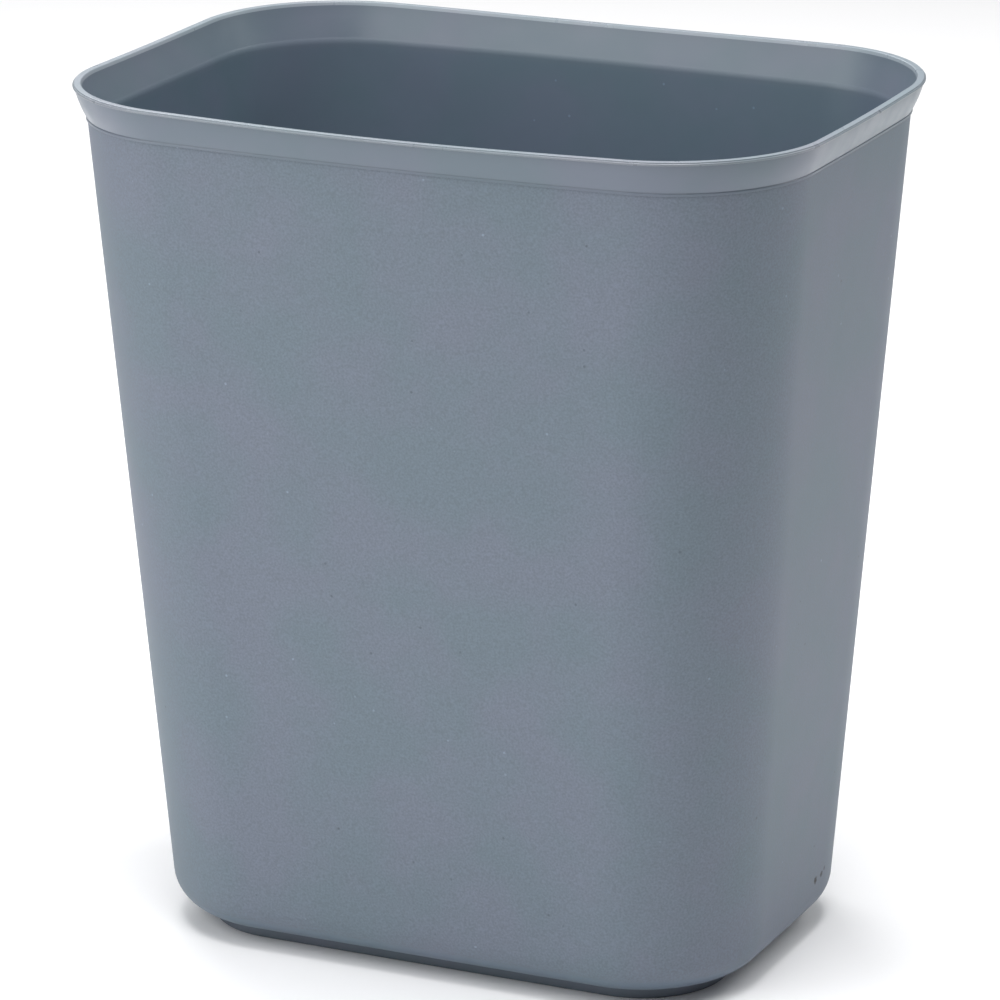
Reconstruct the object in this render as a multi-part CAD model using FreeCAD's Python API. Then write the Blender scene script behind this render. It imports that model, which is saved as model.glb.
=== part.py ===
"""Rectangular office wastebasket, compression moulded in one piece from glass-fibre polyester.

The moulding is written as five face-to-face regions, each a closed solid in its own file:
rim_bead, rim_collar, side_wall, foot_ring and floor_panel.

Frame: millimetres, +Z up, origin at the centre of the standing face. X runs along the long
sides and Y along the short ones.
"""
import FreeCAD, Part

import math
import os
from collections import namedtuple

from FreeCAD import Vector

# A rounded rectangle whose sides bow outwards: half lengths to the middles of its sides, the
# corners' radius, and how far the middles of the long and short sides stand out from their ends.
Plan = namedtuple("Plan", "half_x half_y corner crown_long crown_short")

# Driving dimensions
HEIGHT = 305.0  # floor to the top of the rim at its corners
WALL = 3.0  # moulded wall thickness

MOUTH = Plan(half_x=136.1, half_y=98.2, corner=54.2, crown_long=2.4, crown_short=0.3)
RIM_DIP_LONG = 1.0  # how far the rim's long sides hang below its corners
RIM_DIP_SHORT = 0.6

BEAD_HEIGHT = 1.2
BEAD_WIDTH = 3.3
BEAD_LIP = 0.4  # how far the bead stands proud of the collar

COLLAR_HEIGHT = 12.3  # top of the rim's corners down to the collar's lower edge
COLLAR_FLARE = 4.5  # how far the collar leans out over its height
COLLAR_STEP = 0.3  # how far the collar's lower edge stands proud of the wall

BASE = Plan(half_x=110.6, half_y=72.6, corner=44.6, crown_long=0.1, crown_short=0.1)
BASE_BEND = 12.6  # radius between the wall and the underside

FOOT_HEIGHT = 4.7
FOOT_INSET = 13.3  # from the wall's line, carried down, to the foot's outer face
FOOT_TREAD = 9.0  # width of the standing face
FLOOR_RISE = 1.5  # the floor's underside clears the ground by this

COLLAR_BASE = HEIGHT - COLLAR_HEIGHT
TOUCH = 1e-4  # heights closer than this are level


def arc_radius(half_span, crown):
    """Radius of the arc that rises by crown over a span."""
    return (half_span**2 + crown**2) / (2 * crown)


def corner_centre(plan, long_radius, short_radius):
    """Centre of the +X +Y corner arc that is tangent to a long side's arc and a short side's.

    It lies at each side's radius less the corner's from that side's own centre.
    """
    long_centre = Vector(0, plan.half_y - long_radius)
    short_centre = Vector(plan.half_x - short_radius, 0)
    to_long = long_radius - plan.corner
    to_short = short_radius - plan.corner
    line = short_centre - long_centre
    gap = line.Length
    along = (to_long**2 - to_short**2 + gap**2) / (2 * gap)
    across = math.sqrt(to_long**2 - along**2)
    line.normalize()
    return long_centre + line * along + Vector(line.y, -line.x) * across


def outline(plan, z, inset=0.0, dip=(0.0, 0.0)):
    """The plan's eight tangent arcs at height z, anticlockwise from the +X +Y corner.

    inset draws them inwards evenly. dip is how far the long and short sides hang in the middle.
    """
    long_radius = arc_radius(plan.half_x - plan.corner, plan.crown_long)
    short_radius = arc_radius(plan.half_y - plan.corner, plan.crown_short)
    centre = corner_centre(plan, long_radius, short_radius)
    from_short = centre - Vector(plan.half_x - short_radius, 0)
    from_long = centre - Vector(0, plan.half_y - long_radius)
    from_short.normalize()
    from_long.normalize()
    from_corner = from_short + from_long
    from_corner.normalize()
    radius = plan.corner - inset
    starts, middles, ends = (
        fourfold(centre + direction * radius, z)
        for direction in (from_short, from_corner, from_long)
    )
    long_sides = fourfold(Vector(0, plan.half_y - inset), z - dip[0])
    short_sides = fourfold(Vector(plan.half_x - inset, 0), z - dip[1])
    sides = (long_sides[0], short_sides[1], long_sides[2], short_sides[3])
    edges = []
    for quadrant in range(4):
        if quadrant % 2:
            starts[quadrant], ends[quadrant] = ends[quadrant], starts[quadrant]
    for quadrant in range(4):
        onward = starts[(quadrant + 1) % 4]
        edges.append(Part.Arc(starts[quadrant], middles[quadrant], ends[quadrant]).toShape())
        edges.append(Part.Arc(ends[quadrant], sides[quadrant], onward).toShape())
    return edges


def fourfold(point, z):
    """The same plan point in the four quadrants at height z, anticlockwise from +X +Y."""
    signs = ((1, 1), (-1, 1), (-1, -1), (1, -1))
    return [Vector(point.x * x, point.y * y, z) for x, y in signs]


def ring(*rails):
    """A closed ring whose cross-section is the polygon of its rails, taken in order."""
    faces = []
    for here, onward in zip(rails, rails[1:] + rails[:1]):
        faces += [Part.makeRuledSurface(a, b) for a, b in zip(here, onward)]
    shell = Part.makeShell(faces)
    shell.sewShape()
    solid = Part.makeSolid(shell)
    if solid.Volume < 0:
        solid.reverse()
    return solid


def block(*outlines):
    """The solid between flat outlines stacked in height, with straight sides."""
    return Part.makeLoft([Part.Wire(edges) for edges in outlines], True, True)


def rim_section(z, inset=0.0):
    """Outline of the mouth: inset is from the bead's outer edge."""
    return outline(MOUTH, z, inset, (RIM_DIP_LONG, RIM_DIP_SHORT))


def wall_section(z, inset=0.0):
    """Level outline of the tapered wall at height z: inset is from its outer face."""
    share = (z - FOOT_HEIGHT) / (COLLAR_BASE - FOOT_HEIGHT)
    lean = COLLAR_FLARE + COLLAR_STEP
    top = MOUTH._replace(
        half_x=MOUTH.half_x - lean, half_y=MOUTH.half_y - lean, corner=MOUTH.corner - lean
    )
    plan = Plan(*(low + (high - low) * share for low, high in zip(BASE, top)))
    return outline(plan, z, inset)


def foot_section(z, inset=0.0):
    """Outline of the foot: inset is from its outer face."""
    return outline(BASE, z, FOOT_INSET + inset)


def rim_bead():
    """The thin bead around the mouth, a little proud of the collar."""
    under = HEIGHT - BEAD_HEIGHT
    return ring(
        rim_section(under), rim_section(HEIGHT),
        rim_section(HEIGHT, BEAD_WIDTH), rim_section(under, BEAD_WIDTH),
    )


def rim_collar():
    """The smooth flared band between the bead and the wall."""
    top = HEIGHT - BEAD_HEIGHT
    return ring(
        wall_section(COLLAR_BASE, -COLLAR_STEP), rim_section(top, BEAD_LIP),
        rim_section(top, BEAD_LIP + WALL), wall_section(COLLAR_BASE, WALL),
    )


def bent_cup(inset, bottom, top):
    """The foot of the tapered wall, outside or inside, as a solid with its lower edge rounded."""
    cup = block(wall_section(bottom, inset), wall_section(top, inset))
    lower = [edge for edge in cup.Edges if edge.BoundBox.ZMax < bottom + TOUCH]
    return cup.makeFillet(BASE_BEND - inset, lower)


def side_wall():
    """The grained wall, from the collar down round the bend to the ledge above the foot."""
    bend_top = FOOT_HEIGHT + BASE_BEND
    upper = ring(
        wall_section(bend_top), wall_section(COLLAR_BASE),
        wall_section(COLLAR_BASE, WALL), wall_section(bend_top, WALL),
    )
    outside = bent_cup(0.0, FOOT_HEIGHT, bend_top)
    inside = bent_cup(WALL, FOOT_HEIGHT + WALL, bend_top)
    well = block(foot_section(FOOT_HEIGHT, WALL), foot_section(FOOT_HEIGHT + WALL, WALL))
    lower = outside.cut(inside).cut(well)
    return upper.fuse(lower).removeSplitter()


def foot_ring():
    """The recessed foot: an upright band on a flat tread."""
    whole = block(foot_section(0.0), foot_section(FOOT_HEIGHT))
    inside = block(foot_section(WALL, WALL), foot_section(FOOT_HEIGHT, WALL))
    under_floor = block(foot_section(0.0, FOOT_TREAD), foot_section(WALL, FOOT_TREAD))
    return whole.cut(inside).cut(under_floor)


def floor_panel():
    """The basket's floor, raised so that only the foot's tread touches the ground."""
    return block(
        foot_section(FLOOR_RISE, FOOT_TREAD), foot_section(FLOOR_RISE + WALL, FOOT_TREAD),
    )


PIECES = {
    "rim_bead": rim_bead,
    "rim_collar": rim_collar,
    "side_wall": side_wall,
    "foot_ring": foot_ring,
    "floor_panel": floor_panel,
}

os.makedirs("parts", exist_ok=True)
for name, make in PIECES.items():
    shape = make()
    shape.exportStep(os.path.join("parts", name + ".step"))
    box = shape.BoundBox
    print(
        f"{name}: {len(shape.Solids)} solid, {shape.Volume / 1000:.1f} cm3, valid {shape.isValid()}, "
        f"{box.XLength:.1f} x {box.YLength:.1f} x {box.ZLength:.1f} mm"
    )
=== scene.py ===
import math

import bpy
import numpy as np
from mathutils import Matrix, Vector


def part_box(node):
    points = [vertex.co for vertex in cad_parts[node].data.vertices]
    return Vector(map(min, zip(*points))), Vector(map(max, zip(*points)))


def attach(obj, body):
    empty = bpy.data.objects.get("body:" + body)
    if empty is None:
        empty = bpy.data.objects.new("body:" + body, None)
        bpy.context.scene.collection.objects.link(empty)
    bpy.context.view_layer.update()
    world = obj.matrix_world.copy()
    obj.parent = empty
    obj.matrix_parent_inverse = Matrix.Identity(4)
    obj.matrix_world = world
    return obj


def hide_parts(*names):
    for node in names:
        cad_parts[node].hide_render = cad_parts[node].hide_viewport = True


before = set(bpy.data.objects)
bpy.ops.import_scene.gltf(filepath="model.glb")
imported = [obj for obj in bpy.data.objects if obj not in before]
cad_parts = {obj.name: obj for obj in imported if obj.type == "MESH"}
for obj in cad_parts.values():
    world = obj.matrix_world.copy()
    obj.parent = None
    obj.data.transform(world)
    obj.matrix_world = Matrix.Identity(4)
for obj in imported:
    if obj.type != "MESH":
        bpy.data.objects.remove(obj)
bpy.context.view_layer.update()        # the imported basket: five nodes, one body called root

body = "root"
mm = 0.001
touch = 0.01 * mm  # lines closer than this are the same line
noiseLow, noiseHigh = 0.3, 0.7  # nearly all of a noise pattern lies between these

# Where the moulding's own lines lie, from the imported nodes
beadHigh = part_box("rim_bead")[1]
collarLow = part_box("rim_collar")[0]
wallLow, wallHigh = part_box("side_wall")
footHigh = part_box("foot_ring")[1]
panelLow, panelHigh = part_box("floor_panel")

rimTop = beadHigh.z
collarBase = collarLow.z
ledge = wallLow.z  # underside of the wall, where the foot starts

# The moulding's plan at the mouth and at the ledge: corner is a plan radius, and crown is how
# far the middle of a side stands out from its ends
basket = {
    "mouthCorner": 54.2 * mm,
    "mouthCrownLong": 2.4 * mm,
    "mouthCrownShort": 0.3 * mm,
    "baseCorner": 44.6 * mm,
    "baseCrown": 0.1 * mm,
    "footInset": 13.3 * mm,     # wall's line, carried down, to the foot's outer face
    "wall": 3.0 * mm,
    "bend": 12.6 * mm,          # outer radius between wall and ledge
    "rimDipLong": 1.0 * mm,     # the rim hangs a little between its corners
    "rimDipShort": 0.6 * mm,
    "shortSteps": 16,           # mesh columns on half a short side, a corner, half a long side
    "cornerSteps": 30,
    "longSteps": 26,
    "rowStep": 5.0 * mm,        # tallest gap between mesh rows
    "arcSteps": 6,              # fewest mesh rows round an edge
    "arcStep": 1.2 * mm,        # and their widest spacing
    "sharpAngle": 38,           # faces that turn more than this, in degrees, meet at a sharp edge
}
lean = beadHigh.x - wallHigh.x  # how far the collar leans out from the wall's top

# Each plan is half the length, half the width, corner, long crown, short crown
mouthPlan = np.array([
    beadHigh.x, beadHigh.y,
    basket["mouthCorner"], basket["mouthCrownLong"], basket["mouthCrownShort"],
])
wallTopPlan = mouthPlan - lean * np.array([1, 1, 1, 0, 0])
basePlan = np.array([
    footHigh.x + basket["footInset"], footHigh.y + basket["footInset"],
    basket["baseCorner"], basket["baseCrown"], basket["baseCrown"],
])


# Columns round the outline: which of the three arcs of a quarter each lies on (0 short side,
# 1 corner, 2 long side), how far along it, and the quarter's signs. Runs anticlockwise from +X.
def outlineColumns():
    steps = (basket["shortSteps"], basket["cornerSteps"], basket["longSteps"])
    arc = np.concatenate([np.full(n, k) for k, n in enumerate(steps)] + [[2]])
    along = np.concatenate([np.arange(n) / n for n in steps] + [[1.0]])
    order = np.arange(len(arc))
    quarters = (
        (order[:-1], 1, 1), (order[:0:-1], -1, 1), (order[:-1], -1, -1), (order[:0:-1], 1, -1),
    )
    picked = np.concatenate([q[0] for q in quarters])
    signX = np.concatenate([np.full(len(q[0]), q[1]) for q in quarters])
    signY = np.concatenate([np.full(len(q[0]), q[2]) for q in quarters])
    return arc[picked][None], along[picked][None], signX[None], signY[None]


arcOf, alongOf, signX, signY = outlineColumns()
columnCount = arcOf.shape[1]


# Grid of points for rows (out, z): the outline at height z, moved out evenly by out.
# Each side is an arc of radius (span^2 + crown^2) / (2 crown) about a centre on its axis. The
# corner's centre is where circles of (side radius - corner radius) about those two centres
# cross, so all arcs are tangent. point = centre + (radius + out) * (cos a, sin a), and the rim
# hangs by dip * cos^2 of the way from the middle of a side to the middle of a corner.
def surface(rows):
    out, z = rows[:, 0:1], rows[:, 1:2]
    share = np.clip((z - ledge) / (collarBase - ledge), 0, 1)
    plan = basePlan + (wallTopPlan - basePlan) * share
    halfX, halfY, corner, crownLong, crownShort = (plan[:, k:k + 1] for k in range(5))
    longRadius = ((halfX - corner) ** 2 + crownLong ** 2) / (2 * crownLong)
    shortRadius = ((halfY - corner) ** 2 + crownShort ** 2) / (2 * crownShort)
    longY, shortX = halfY - longRadius, halfX - shortRadius  # centres (0, longY) and (shortX, 0)
    toLong, toShort = longRadius - corner, shortRadius - corner
    gap = np.hypot(shortX, longY)
    towards = (toLong ** 2 - toShort ** 2 + gap ** 2) / (2 * gap)
    across = np.sqrt(toLong ** 2 - towards ** 2)
    lineX, lineY = shortX / gap, -longY / gap
    cornerX = lineX * towards + lineY * across
    cornerY = longY + lineY * towards - lineX * across
    shortAngle = np.arctan2(cornerY, cornerX - shortX)
    longAngle = np.arctan2(cornerY - longY, cornerX)
    zero = np.zeros_like(shortAngle)
    starts = (zero, shortAngle, longAngle)
    ends = (shortAngle, longAngle, zero + math.pi / 2)
    radii = (shortRadius, corner, longRadius)
    lengths = [(b - a) * r for a, b, r in zip(starts, ends, radii)]

    def onArc(values):
        return np.where(arcOf == 0, values[0], np.where(arcOf == 1, values[1], values[2]))

    angle = onArc(starts) + (onArc(ends) - onArc(starts)) * alongOf
    radius = onArc(radii) + out
    x = onArc((shortX, cornerX, zero)) + radius * np.cos(angle)
    y = onArc((zero, cornerY, longY)) + radius * np.sin(angle)
    travelled = onArc((zero, lengths[0], lengths[0] + lengths[1])) + onArc(lengths) * alongOf
    middle, total = lengths[0] + lengths[1] / 2, sum(lengths)
    shortWay = np.clip(travelled / middle, 0, 1)
    longWay = np.clip((total - travelled) / (total - middle), 0, 1)
    hang = basket["rimDipShort"] * np.cos(shortWay * math.pi / 2) ** 2
    hang = hang + basket["rimDipLong"] * np.cos(longWay * math.pi / 2) ** 2
    rise = np.clip((z - collarBase) / (rimTop - collarBase), 0, 1)
    return np.stack([x * signX, y * signY, z - hang * rise], axis=-1)


# A closed cross-section from corners (out, z, radius) in metres. Each rounded corner is an arc
# tangent to both its runs: it starts radius / tan(half the inner angle) before the corner.
def roundedProfile(corners):
    points = np.array([c[:2] for c in corners], float)
    pieces = []
    for k, (x, z, radius) in enumerate(corners):
        here = np.array([x, z])
        back = points[k - 1] - here
        onward = points[(k + 1) % len(points)] - here
        back, onward = back / np.hypot(*back), onward / np.hypot(*onward)
        half = math.acos(np.clip(back @ onward, -1, 1)) / 2
        if radius == 0 or math.pi / 2 - half < 1e-3:  # square, or the run goes straight on
            pieces.append(here[None])
            continue
        centre = here + (back + onward) / np.hypot(*(back + onward)) * radius / math.sin(half)
        first = here + back * radius / math.tan(half) - centre
        last = here + onward * radius / math.tan(half) - centre
        turn = math.atan2(first[0] * last[1] - first[1] * last[0], first @ last)
        steps = max(basket["arcSteps"], int(abs(turn) * radius / basket["arcStep"]))
        a = np.linspace(0, turn, steps + 1)[:, None]
        pieces.append(centre + first * np.cos(a) + np.array([-first[1], first[0]]) * np.sin(a))
    return spaced(np.concatenate(pieces))


# The closed profile with its long runs divided evenly.
def spaced(points):
    ends = np.roll(points, -1, axis=0)
    counts = np.maximum(1, np.ceil(np.hypot(*(ends - points).T) / basket["rowStep"]).astype(int))
    runs = [a + (b - a) * (np.arange(n) / n)[:, None] for a, b, n in zip(points, ends, counts)]
    return np.concatenate(runs)


# A mesh object from points and faces, smooth except where its faces turn sharply.
def meshPiece(name, points, faces, material, node):
    mesh = bpy.data.meshes.new(name)
    mesh.from_pydata(points.tolist(), [], faces)
    mesh.shade_smooth()
    mesh.set_sharp_from_angle(angle=math.radians(basket["sharpAngle"]))
    mesh.materials.append(material)
    piece = bpy.data.objects.new(name, mesh)
    bpy.context.scene.collection.objects.link(piece)
    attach(piece, body)
    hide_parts(node)
    print(f"{name}: {len(points)} points, {len(faces)} faces")
    return piece


# Faces of a grid that closes on itself round the outline, and up its rows too if ringed.
def gridFaces(rowCount, ringed):
    i = np.arange(rowCount if ringed else rowCount - 1)[:, None]
    j = np.arange(columnCount)[None]
    up, on = (i + 1) % rowCount, (j + 1) % columnCount
    here, above = i * columnCount, up * columnCount
    return np.stack([here + j, here + on, above + on, above + j]).reshape(4, -1).T.tolist()


# The profile, anticlockwise with out to the right and z up, carried once round the outline.
def sweptPiece(name, corners, material, node):
    rows = roundedProfile(corners)
    points = surface(rows).reshape(-1, 3)
    return meshPiece(name, points, gridFaces(len(rows), True), material, node), rows


# sRGB hex to linear, with an alpha of 1
def colour(hexText):
    c = np.array([int(hexText[k:k + 2], 16) for k in (1, 3, 5)]) / 255
    return (*np.where(c <= 0.04045, c / 12.92, ((c + 0.055) / 1.055) ** 2.4).tolist(), 1.0)


# One shader node with its settings, its sockets' fixed values and its incoming links. A link
# given as a node comes from that node's first output.
def addNode(tree, kind, settings=None, values=None, links=None):
    node = tree.nodes.new(kind)
    for name, value in (settings or {}).items():
        setattr(node, name, value)
    for socket, value in (values or {}).items():
        node.inputs[socket].default_value = value
    for socket, source in (links or {}).items():
        output = source.outputs[0] if isinstance(source, bpy.types.Node) else source
        tree.links.new(output, node.inputs[socket])
    return node


# One value for each profile row, the same all the way round, for the material to read by name
def paintRows(piece, name, perRow):
    values = np.repeat(perRow, columnCount).astype(np.float32)
    piece.data.attributes.new(name, "FLOAT", "POINT").data.foreach_set("value", values)


def newMaterial(name):
    material = bpy.data.materials.new(name)
    material.use_nodes = True
    material.node_tree.nodes.clear()
    coords = addNode(material.node_tree, "ShaderNodeTexCoord").outputs["Object"]
    return material, material.node_tree, coords


# Moulded glass-fibre polyester, coloured right through. The pigment drifts a little between a
# greener and a purpler grey-blue over a few centimetres, so the big plain faces don't look printed.
moulding = {
    "driftSize": 38 * mm,
    "allGreen": 0.38,           # where in the drift's noise the colour is all green
    "allPurple": 0.62,          # and all purple
    "ior": 1.56,
}


def driftingPigment(tree, coords, green, purple):
    drift = addNode(tree, "ShaderNodeTexNoise", None, {
        "Scale": 1 / moulding["driftSize"], "Detail": 3.0,
    }, {"Vector": coords})
    share = addNode(tree, "ShaderNodeMapRange", None, {
        "From Min": moulding["allGreen"], "From Max": moulding["allPurple"],
    }, {"Value": drift})
    return addNode(tree, "ShaderNodeMixRGB", None, {
        "Color1": colour(green), "Color2": colour(purple),
    }, {"Fac": share})


# Painted shade, where the mesh's rows are painted with it: in the creases, under the bead, on the
# bead's ledge and on the foot
def withPaintedShade(tree, paint, creaseShade):
    shadeAmount = addNode(tree, "ShaderNodeAttribute", {"attribute_name": "paintedShade"}).outputs["Fac"]
    shade = addNode(tree, "ShaderNodeMapRange", None, {
        "To Min": 1.0, "To Max": creaseShade,
    }, {"Value": shadeAmount})
    return addNode(tree, "ShaderNodeVectorMath", {"operation": "SCALE"}, None, {
        0: paint, "Scale": shade,
    })


def finishMaterial(tree, paint, rough, bump):
    shader = addNode(tree, "ShaderNodeBsdfPrincipled", None, {
        "IOR": moulding["ior"], "Metallic": 0.0,
    }, {"Base Color": paint, "Roughness": rough, "Normal": bump})
    addNode(tree, "ShaderNodeOutputMaterial", None, None, {"Surface": shader})


# Etched mould: a fine even grain that breaks the light up, so the wall reads dull and flat. The
# real grain is about half a millimetre, too fine to show, and is drawn half as coarse again.
etched = {
    "green": "#5E6C77",
    "purple": "#636C7A",
    "grain": 0.75 * mm,
    "depth": 0.05 * mm,
    "bumpStrength": 0.8,
    "roughLow": 0.48,
    "roughHigh": 0.64,
    "speckle": 0.15,            # how much darker the grain's hollows are, and lighter its tops
    "insideRough": 0.40,        # the core side of the mould is polished, and painted shade inside makes it darker and bluer
    "insideShadeTint": "#F2FBFF",    # and reads deeper and bluer
    "cloud": 7 * mm,            # soft blotches where the resin flowed unevenly
    "clouding": 0.012,          # how much darker and lighter they are
    "fleckGap": 7 * mm,         # pale ends of glass fibre and dark pits, one every few centimetres
    "fleckReach": 0.085,        # of the gap
    "fleckShare": 0.35,         # of the cells have one
    "darkFleck": 0.62,          # times the wall's colour
    "paleFleck": 1.5,
    "creaseShade": 0.80,
}

# Dark rubs low on the +X short side, in mm and degrees: middle, half extents, turn about X, and
# the share of the colour that is left
scuffs = (
    {"at": (111.8, 20.7, 21.6), "size": (3.0, 1.7, 1.6), "tilt": -50, "shade": 0.02},
    {"at": (111.8, 26.2, 22.0), "size": (3.0, 1.2, 1.6), "tilt": -60, "shade": 0.15},
    {"at": (111.9, 28.9, 23.4), "size": (3.0, 0.9, 1.0), "tilt": -50, "shade": 0.45},
)
scuffRag = 0.7 * mm  # how coarsely a rub's edge is torn
scuffDark, scuffEnd = 1.0, 1.5  # half extents plus torn edge at which a rub is dark, and has gone


def scuffed(tree, coords, paint):
    ragged = addNode(tree, "ShaderNodeTexNoise", None, {
        "Scale": 1 / scuffRag, "Detail": 2.0,
    }, {"Vector": coords})
    for scuff in scuffs:
        place = addNode(tree, "ShaderNodeMapping", {"vector_type": "TEXTURE"}, {
            "Location": [v * mm for v in scuff["at"]],
            "Rotation": (math.radians(scuff["tilt"]), 0, 0),
            "Scale": [v * mm for v in scuff["size"]],
        }, {"Vector": coords})
        reach = addNode(tree, "ShaderNodeVectorMath", {"operation": "LENGTH"}, None, {0: place})
        frayed = addNode(tree, "ShaderNodeMath", {"operation": "ADD"}, None, {
            0: reach.outputs["Value"], 1: ragged,
        })
        shade = addNode(tree, "ShaderNodeMapRange", None, {
            "From Min": scuffDark, "From Max": scuffEnd, "To Min": scuff["shade"], "To Max": 1.0,
        }, {"Value": frayed})
        paint = addNode(tree, "ShaderNodeVectorMath", {"operation": "SCALE"}, None, {
            0: paint, "Scale": shade,
        })
    return paint


def etchedPolyester():
    material, tree, coords = newMaterial("etchMouldedPolyester")
    outside = addNode(tree, "ShaderNodeAttribute", {"attribute_name": "outside"}).outputs["Fac"]
    insideShade = addNode(tree, "ShaderNodeAttribute", {"attribute_name": "insideShade"}).outputs["Fac"]

    # The grain is level at 0.5 inside, where the mould wasn't etched
    etching = addNode(tree, "ShaderNodeTexNoise", None, {
        "Scale": 1 / etched["grain"], "Detail": 2.0,
    }, {"Vector": coords})
    grain = addNode(tree, "ShaderNodeMix", {"data_type": "FLOAT"}, {2: 0.5}, {
        0: outside, 3: etching,
    })
    bump = addNode(tree, "ShaderNodeBump", None, {
        "Strength": etched["bumpStrength"], "Distance": etched["depth"],
    }, {"Height": grain})

    paint = driftingPigment(tree, coords, etched["green"], etched["purple"])
    # Painted shade inside the basket: the colour darker and bluer further down
    tint = addNode(tree, "ShaderNodeMixRGB", None, {
        "Color1": (1, 1, 1, 1), "Color2": colour(etched["insideShadeTint"]),
    }, {"Fac": insideShade})
    paint = addNode(tree, "ShaderNodeVectorMath", {"operation": "MULTIPLY"}, None, {
        0: paint, 1: tint,
    })
    cloud = addNode(tree, "ShaderNodeTexNoise", None, {
        "Scale": 1 / etched["cloud"], "Detail": 2.0,
    }, {"Vector": coords})
    for pattern, amount in ((grain, etched["speckle"]), (cloud, etched["clouding"])):
        shade = addNode(tree, "ShaderNodeMapRange", None, {
            "From Min": noiseLow, "From Max": noiseHigh, "To Min": 1 - amount, "To Max": 1 + amount,
        }, {"Value": pattern})
        paint = addNode(tree, "ShaderNodeVectorMath", {"operation": "SCALE"}, None, {
            0: paint, "Scale": shade,
        })

    # Flecks at the middles of some cells. Each cell's own colour says whether, and pale or dark.
    cells = addNode(tree, "ShaderNodeTexVoronoi", None, {
        "Scale": 1 / etched["fleckGap"],
    }, {"Vector": coords})
    chance = addNode(tree, "ShaderNodeSeparateColor", None, None, {"Color": cells.outputs["Color"]})
    near = addNode(tree, "ShaderNodeMapRange", None, {
        "From Min": etched["fleckReach"] / 2, "From Max": etched["fleckReach"],
        "To Min": 1.0, "To Max": 0.0,
    }, {"Value": cells.outputs["Distance"]})
    kept = addNode(tree, "ShaderNodeMath", {"operation": "LESS_THAN"}, {
        1: etched["fleckShare"],
    }, {0: chance.outputs["Red"]})
    fleck = addNode(tree, "ShaderNodeMath", {"operation": "MULTIPLY"}, None, {0: near, 1: kept})
    paleOrDark = addNode(tree, "ShaderNodeMapRange", None, {
        "From Min": 0.49, "From Max": 0.51,  # a sharp step, so half are dark and half pale
        "To Min": etched["darkFleck"], "To Max": etched["paleFleck"],
    }, {"Value": chance.outputs["Green"]})
    shade = addNode(tree, "ShaderNodeMix", {"data_type": "FLOAT"}, {2: 1.0}, {
        0: fleck, 3: paleOrDark,
    })
    paint = addNode(tree, "ShaderNodeVectorMath", {"operation": "SCALE"}, None, {
        0: paint, "Scale": shade,
    })
    paint = withPaintedShade(tree, scuffed(tree, coords, paint), etched["creaseShade"])

    etchedRough = addNode(tree, "ShaderNodeMapRange", None, {
        "From Min": noiseLow, "From Max": noiseHigh,
        "To Min": etched["roughLow"], "To Max": etched["roughHigh"],
    }, {"Value": grain})
    rough = addNode(tree, "ShaderNodeMix", {"data_type": "FLOAT"}, {2: etched["insideRough"]}, {
        0: outside, 3: etchedRough,
    })
    finishMaterial(tree, paint, rough, bump)
    return material


# Polished mould: the same stock left satin. A faint flow ripple bends the soft highlights.
satin = {
    "ripple": 9 * mm,
    "depth": 0.015 * mm,
    "bumpStrength": 1.0,
}

# The collar, as moulded
collarFinish = {
    "green": "#5E6C77",
    "purple": "#636C7A",
    "roughLow": 0.30,
    "roughHigh": 0.40,
    "creaseShade": 0.88,
}

# The bead, where the flash was sanded off: paler and a little smoother. The paler colour is partly
# the sanded edge and partly a painted highlight.
beadFinish = {
    "green": "#838F97",
    "purple": "#898F99",
    "roughLow": 0.26,
    "roughHigh": 0.36,
    "creaseShade": 0.72,
}

# The foot and the basket's own floor, dulled by what it stands on, and a little darker in colour as
# painted shade
footFinish = {
    "green": "#5C6974",
    "purple": "#626977",
    "roughLow": 0.44,
    "roughHigh": 0.56,
    "creaseShade": 0.70,
}


def satinPolyester(name, finish):
    material, tree, coords = newMaterial(name)
    ripple = addNode(tree, "ShaderNodeTexNoise", None, {
        "Scale": 1 / satin["ripple"], "Detail": 4.0,
    }, {"Vector": coords})
    bump = addNode(tree, "ShaderNodeBump", None, {
        "Strength": satin["bumpStrength"], "Distance": satin["depth"],
    }, {"Height": ripple})
    rough = addNode(tree, "ShaderNodeMapRange", None, {
        "From Min": noiseLow, "From Max": noiseHigh,
        "To Min": finish["roughLow"], "To Max": finish["roughHigh"],
    }, {"Value": ripple})
    paint = driftingPigment(tree, coords, finish["green"], finish["purple"])
    finishMaterial(tree, withPaintedShade(tree, paint, finish["creaseShade"]), rough, bump)
    return material


etchedWall = etchedPolyester()
satinCollar = satinPolyester("polishMouldedPolyester", collarFinish)
# The bead's paler colour is partly a painted highlight
sandedHighlitBead = satinPolyester("sandedHighlitPolyester", beadFinish)
scuffedShadedFoot = satinPolyester("scuffedShadedPolyester", footFinish)
print("materials made")

wall = basket["wall"]

# Each piece below is a list of corners (out, z, radius)

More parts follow.
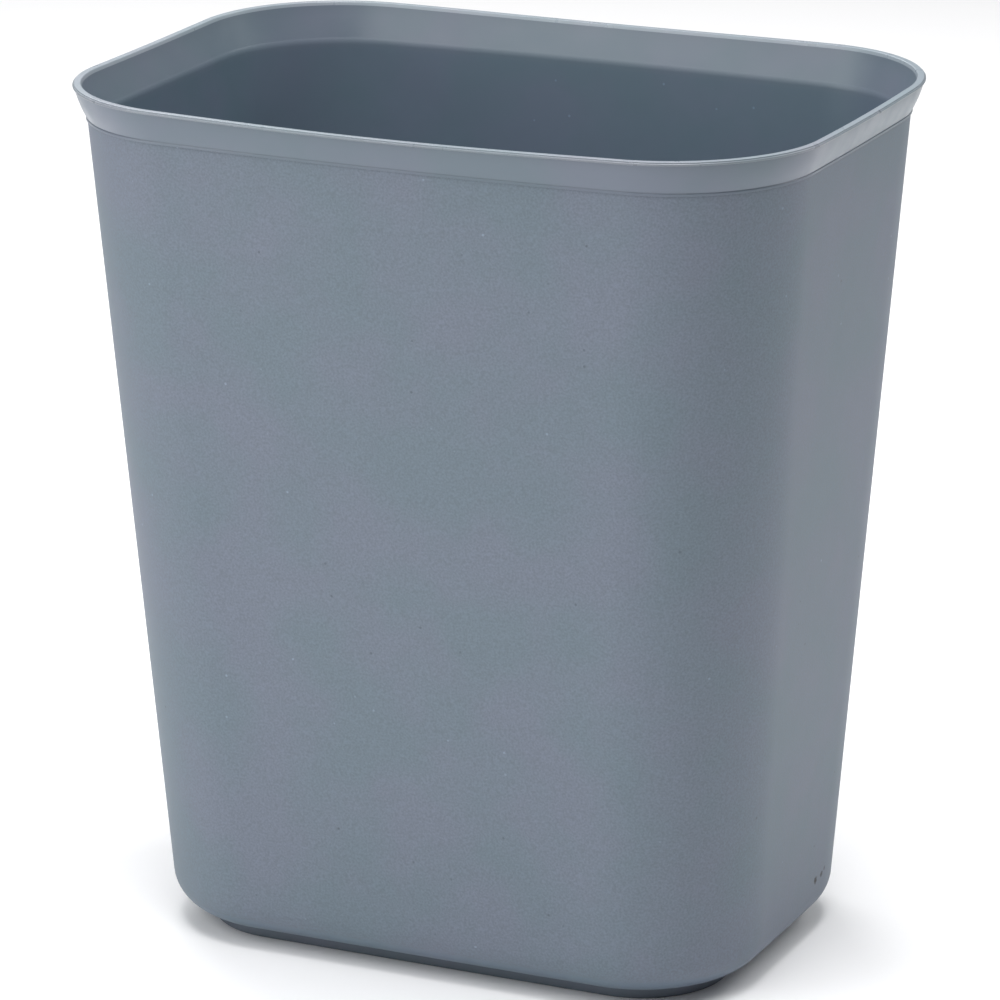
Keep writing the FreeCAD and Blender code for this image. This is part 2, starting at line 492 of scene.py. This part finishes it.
# The bead round the mouth: a flat top, a fine groove where the flash was trimmed, then a
# rounded ledge. Its inner face carries on up the collar's slope.
bead = {
    "height": 1.2 * mm,
    "width": 3.3 * mm,
    "ledgeWidth": 0.55 * mm,
    "ledgeDown": 0.40 * mm,
    "ledgeRound": 0.38 * mm,
    "underRound": 0.25 * mm,
    "topRound": 0.12 * mm,
    "innerSlope": 0.45 * mm,
    "innerRound": 0.4 * mm,
    "shadeBelow": 0.3 * mm,      # painted shade on the ledge, below the lit top, starts this far under the top
}
beadUnder = rimTop - bead["height"]
beadIn = lean - bead["width"]
rimBead, beadRows = sweptPiece("rimBead", [
    (beadIn, beadUnder, 0),
    (lean, beadUnder, bead["underRound"]),
    (lean, rimTop - bead["ledgeDown"], bead["ledgeRound"]),
    (lean - bead["ledgeWidth"], rimTop - bead["ledgeDown"], 0),
    (lean - bead["ledgeWidth"], rimTop, bead["topRound"]),
    (beadIn + bead["innerSlope"], rimTop, bead["innerRound"]),
], sandedHighlitBead, "rim_bead")
# Painted shade on the ledge and the bead's outer face, so they stay darker than the lit top
onLedge = beadRows[:, 0] > lean - bead["ledgeWidth"] - touch
underTop = beadRows[:, 1] < rimTop - bead["shadeBelow"]
paintRows(rimBead, "paintedShade", (onLedge & underTop).astype(float))

# The collar: a fine raised line and groove at its foot, then a flare that is a little fuller in
# the middle. Each pair is how far out it stands, and its height above the collar's foot.
collar = {
    "line": (0.50 * mm, 0.80 * mm),
    "lineRound": 0.24 * mm,
    "groove": (0.34 * mm, 1.02 * mm),
    "grooveRound": 0.08 * mm,
    "flareStart": (0.48 * mm, 1.30 * mm),
    "flareRound": 0.15 * mm,
    "fullest": (2.90 * mm, 5.90 * mm),
    "fullestRound": 40 * mm,
    "lip": 0.5 * mm,            # the bead stands this far proud of the flare's end
    "bendDrop": 1.2 * mm,       # inside, the flare runs on past its foot to a soft bend
    "bendRound": 6.5 * mm,
    "grooveShade": 0.2 * mm,    # half width of the painted shade in the groove
    "beadShade": 2.5 * mm,      # and how far painted shade trails down from the bead
    "beadShadeShare": 0.7,      # of the groove's
}
innerSlope = (beadIn + wall) / (beadUnder - collarBase + collar["bendDrop"])
bendIn = -wall + innerSlope * collar["bendDrop"]
rimCollar, collarRows = sweptPiece("rimCollar", [
    (bendIn, collarBase, 0),
    (collar["line"][0], collarBase, collar["lineRound"] / 2),
    (collar["line"][0], collarBase + collar["line"][1], collar["lineRound"]),
    (collar["groove"][0], collarBase + collar["groove"][1], collar["grooveRound"]),
    (collar["flareStart"][0], collarBase + collar["flareStart"][1], collar["flareRound"]),
    (collar["fullest"][0], collarBase + collar["fullest"][1], collar["fullestRound"]),
    (lean - collar["lip"], beadUnder, 0),
    (beadIn, beadUnder, 0),
], satinCollar, "rim_collar")
# Painted shade on the collar's outside: a dark line in the groove and a fade down from under the
# bead
fromGroove = collarRows[:, 1] - collarBase - collar["groove"][1]
inGroove = np.exp(-(fromGroove / collar["grooveShade"]) ** 2)
underBead = collar["beadShadeShare"] * np.exp((collarRows[:, 1] - beadUnder) / collar["beadShade"])
paintRows(rimCollar, "paintedShade", (collarRows[:, 0] > 0) * np.maximum(inGroove, underBead))

# The wall: straight down to a round bend, then in under itself to the foot. The rows close
# together at its top carry painted shade under the collar.
wallShape = {
    "shadeRows": (1.6 * mm, 0.8 * mm, 0.35 * mm),  # under the collar
    "paintedShade": 0.35 * mm,         # how far down it fades
    "insideShadeBelow": 4 * mm,        # inside, the painted shade is full this far under the collar
    "wellRound": 1.2 * mm,      # where the floor of the inside turns down over the foot
}
footIn = -basket["footInset"]
wellEdge = footIn - wall
sideWall, wallRows = sweptPiece("sideWall", [
    (wellEdge, ledge, 0),
    (0, ledge, basket["bend"]),
    *((0, collarBase - down, 0) for down in wallShape["shadeRows"]),
    (0, collarBase, 0),
    (bendIn, collarBase, 0),
    (-wall, collarBase - collar["bendDrop"], collar["bendRound"]),
    (-wall, collarBase - wallShape["insideShadeBelow"], 0),
    (-wall, ledge + wall, basket["bend"] - wall),
    (wellEdge, ledge + wall, wallShape["wellRound"]),
], etchedWall, "side_wall")
outer = (wallRows[:, 0] > -wall / 2) | (wallRows[:, 1] < ledge + wall / 2)
paintRows(sideWall, "outside", outer)
downWall = collarBase - wallRows[:, 1]
# Painted shade inside, growing from the collar down to its full depth
paintRows(sideWall, "insideShade", ~outer * np.clip(downWall / wallShape["insideShadeBelow"], 0, 1))
# Painted shade on the outside, just under the collar's foot, fading downwards
paintRows(sideWall, "paintedShade", outer * np.exp(-downWall / wallShape["paintedShade"]))

# The foot: an upright band on a flat tread
foot = {
    "tread": 9.0 * mm,
    "edgeRound": 0.8 * mm,
    "innerRound": 1.2 * mm,
}
treadIn = footIn - foot["tread"]
footRing, footRows = sweptPiece("footRing", [
    (treadIn, 0, foot["edgeRound"]),
    (footIn, 0, foot["edgeRound"]),
    (footIn, ledge, 0),
    (wellEdge, ledge, 0),
    (wellEdge, wall, foot["innerRound"]),
    (treadIn, wall, 0),
], scuffedShadedFoot, "foot_ring")
# Painted shade on the foot, darker towards the floor
paintRows(footRing, "paintedShade", np.clip(1 - footRows[:, 1] / ledge, 0, 1))

# The floor: its edge rows as on the other pieces, then rings drawn in to a point at the middle
floorPlate = {
    "edgeRound": 0.7 * mm,
    "edgeBand": 2 * mm,         # the band of rows that follows the edge
    "rings": np.linspace(0.96, 0.04, 24),
}
edgeRows = roundedProfile([
    (treadIn - floorPlate["edgeBand"], panelLow.z, 0),
    (treadIn, panelLow.z, floorPlate["edgeRound"]),
    (treadIn, panelHigh.z, floorPlate["edgeRound"]),
    (treadIn - floorPlate["edgeBand"], panelHigh.z, 0),
])[:-1]
edge = surface(edgeRows)
rings = floorPlate["rings"][:, None, None]
under = edge[0][None] * np.array([1, 1, 0]) * rings + np.array([0, 0, panelLow.z])
over = edge[-1][None] * np.array([1, 1, 0]) * rings + np.array([0, 0, panelHigh.z])
sheet = np.concatenate([under[::-1], edge, over])
points = np.concatenate([sheet.reshape(-1, 3), [[0, 0, panelLow.z], [0, 0, panelHigh.z]]])
faces = gridFaces(len(sheet), False)
lowPole, highPole, lastRow = len(points) - 2, len(points) - 1, (len(sheet) - 1) * columnCount
faces += [[(j + 1) % columnCount, j, lowPole] for j in range(columnCount)]
faces += [[lastRow + j, lastRow + (j + 1) % columnCount, highPole] for j in range(columnCount)]
meshPiece("floorPanel", points, faces, scuffedShadedFoot, "floor_panel")
print("basket made")

# The studio floor, in flat paint, which shows hardly any reflection
stage = {
    "reach": 12.0,              # metres from the basket to the floor's edge
    "tone": "#F6F6F7",
    "roughness": 0.9,
}
floorMaterial, floorTree, _ = newMaterial("paintedStudioFloor")
floorShader = addNode(floorTree, "ShaderNodeBsdfPrincipled", None, {
    "Base Color": colour(stage["tone"]), "Roughness": stage["roughness"],
})
addNode(floorTree, "ShaderNodeOutputMaterial", None, None, {"Surface": floorShader})
reach = stage["reach"]
floorMesh = bpy.data.meshes.new("studioFloor")
floorMesh.from_pydata([
    (-reach, -reach, 0), (reach, -reach, 0), (reach, reach, 0), (-reach, reach, 0),
], [], [(0, 1, 2, 3)])
floorMesh.materials.append(floorMaterial)
studioFloor = bpy.data.objects.new("studioFloor", floorMesh)
bpy.context.scene.collection.objects.link(studioFloor)

# Soft studio light: each box is a size in metres, a power in watts, and where it stands round
# the basket in degrees
lightBoxes = {
    "overhead": {"size": 1.2, "power": 36.0, "azimuth": 0, "elevation": 89},
    "keyLow": {"size": 0.9, "power": 10.4, "azimuth": -45, "elevation": 8},
    "keyHigh": {"size": 0.9, "power": 6.9, "azimuth": -45, "elevation": 40},
    "frontHigh": {"size": 0.9, "power": 6.3, "azimuth": -15, "elevation": 40},
    "rightHigh": {"size": 0.9, "power": 10.6, "azimuth": 30, "elevation": 65},
    "behindLeft": {"size": 0.9, "power": 10.6, "azimuth": -135, "elevation": 40},
    "behindRight": {"size": 0.9, "power": 12.6, "azimuth": 135, "elevation": 40},
}
lightDistance = 2.0
airLight = 0.22  # even light from all round
aim = Vector((0, 0, rimTop / 2))


# Unit vector to a place round the basket: azimuth 0 is in front of the long side, 90 beyond +X
def direction(azimuth, elevation):
    a, e = math.radians(azimuth), math.radians(elevation)
    return Vector((math.sin(a) * math.cos(e), -math.cos(a) * math.cos(e), math.sin(e)))


for name, box in lightBoxes.items():
    light = bpy.data.lights.new(name, "AREA")
    light.shape = "SQUARE"
    light.size = box["size"]
    light.energy = box["power"]
    lamp = bpy.data.objects.new(name, light)
    towards = direction(box["azimuth"], box["elevation"])
    turn = towards.to_track_quat("Z", "Y").to_matrix().to_4x4()
    lamp.matrix_world = Matrix.Translation(aim + towards * lightDistance) @ turn
    bpy.context.scene.collection.objects.link(lamp)

world = bpy.data.worlds.new("studioAir")
world.use_nodes = True
world.node_tree.nodes["Background"].inputs["Color"].default_value = (1, 1, 1, 1)
world.node_tree.nodes["Background"].inputs["Strength"].default_value = airLight
bpy.context.scene.world = world
bpy.context.scene.view_settings.view_transform = "Standard"

# Camera: a long lens, a little right of the front and a little above
camera = {
    "azimuth": 24.674,          # degrees
    "elevation": 17.188,
    "roll": -0.177,
    "distance": 1.91422,        # metres
    "lens": 197.04,             # focal length in millimetres
    "aimRight": -0.437 * mm,    # the aim, from the middle of the basket's height
    "aimUp": 0.951 * mm,
}
back = direction(camera["azimuth"], camera["elevation"])
around = math.radians(camera["azimuth"])
level = Vector((math.cos(around), math.sin(around), 0))
upward = back.cross(level)
roll = math.radians(camera["roll"])
right = level * math.cos(roll) + upward * math.sin(roll)
upward = back.cross(right)
target = aim + level * camera["aimRight"] + Vector((0, 0, camera["aimUp"]))
lens = bpy.data.cameras.new("camera")
lens.sensor_width = 36
lens.lens = camera["lens"]
view = bpy.data.objects.new("camera", lens)
facing = Matrix((right, upward, back)).transposed().to_4x4()
view.matrix_world = Matrix.Translation(target + back * camera["distance"]) @ facing
bpy.context.scene.collection.objects.link(view)
bpy.context.scene.camera = view
print("light and camera set")
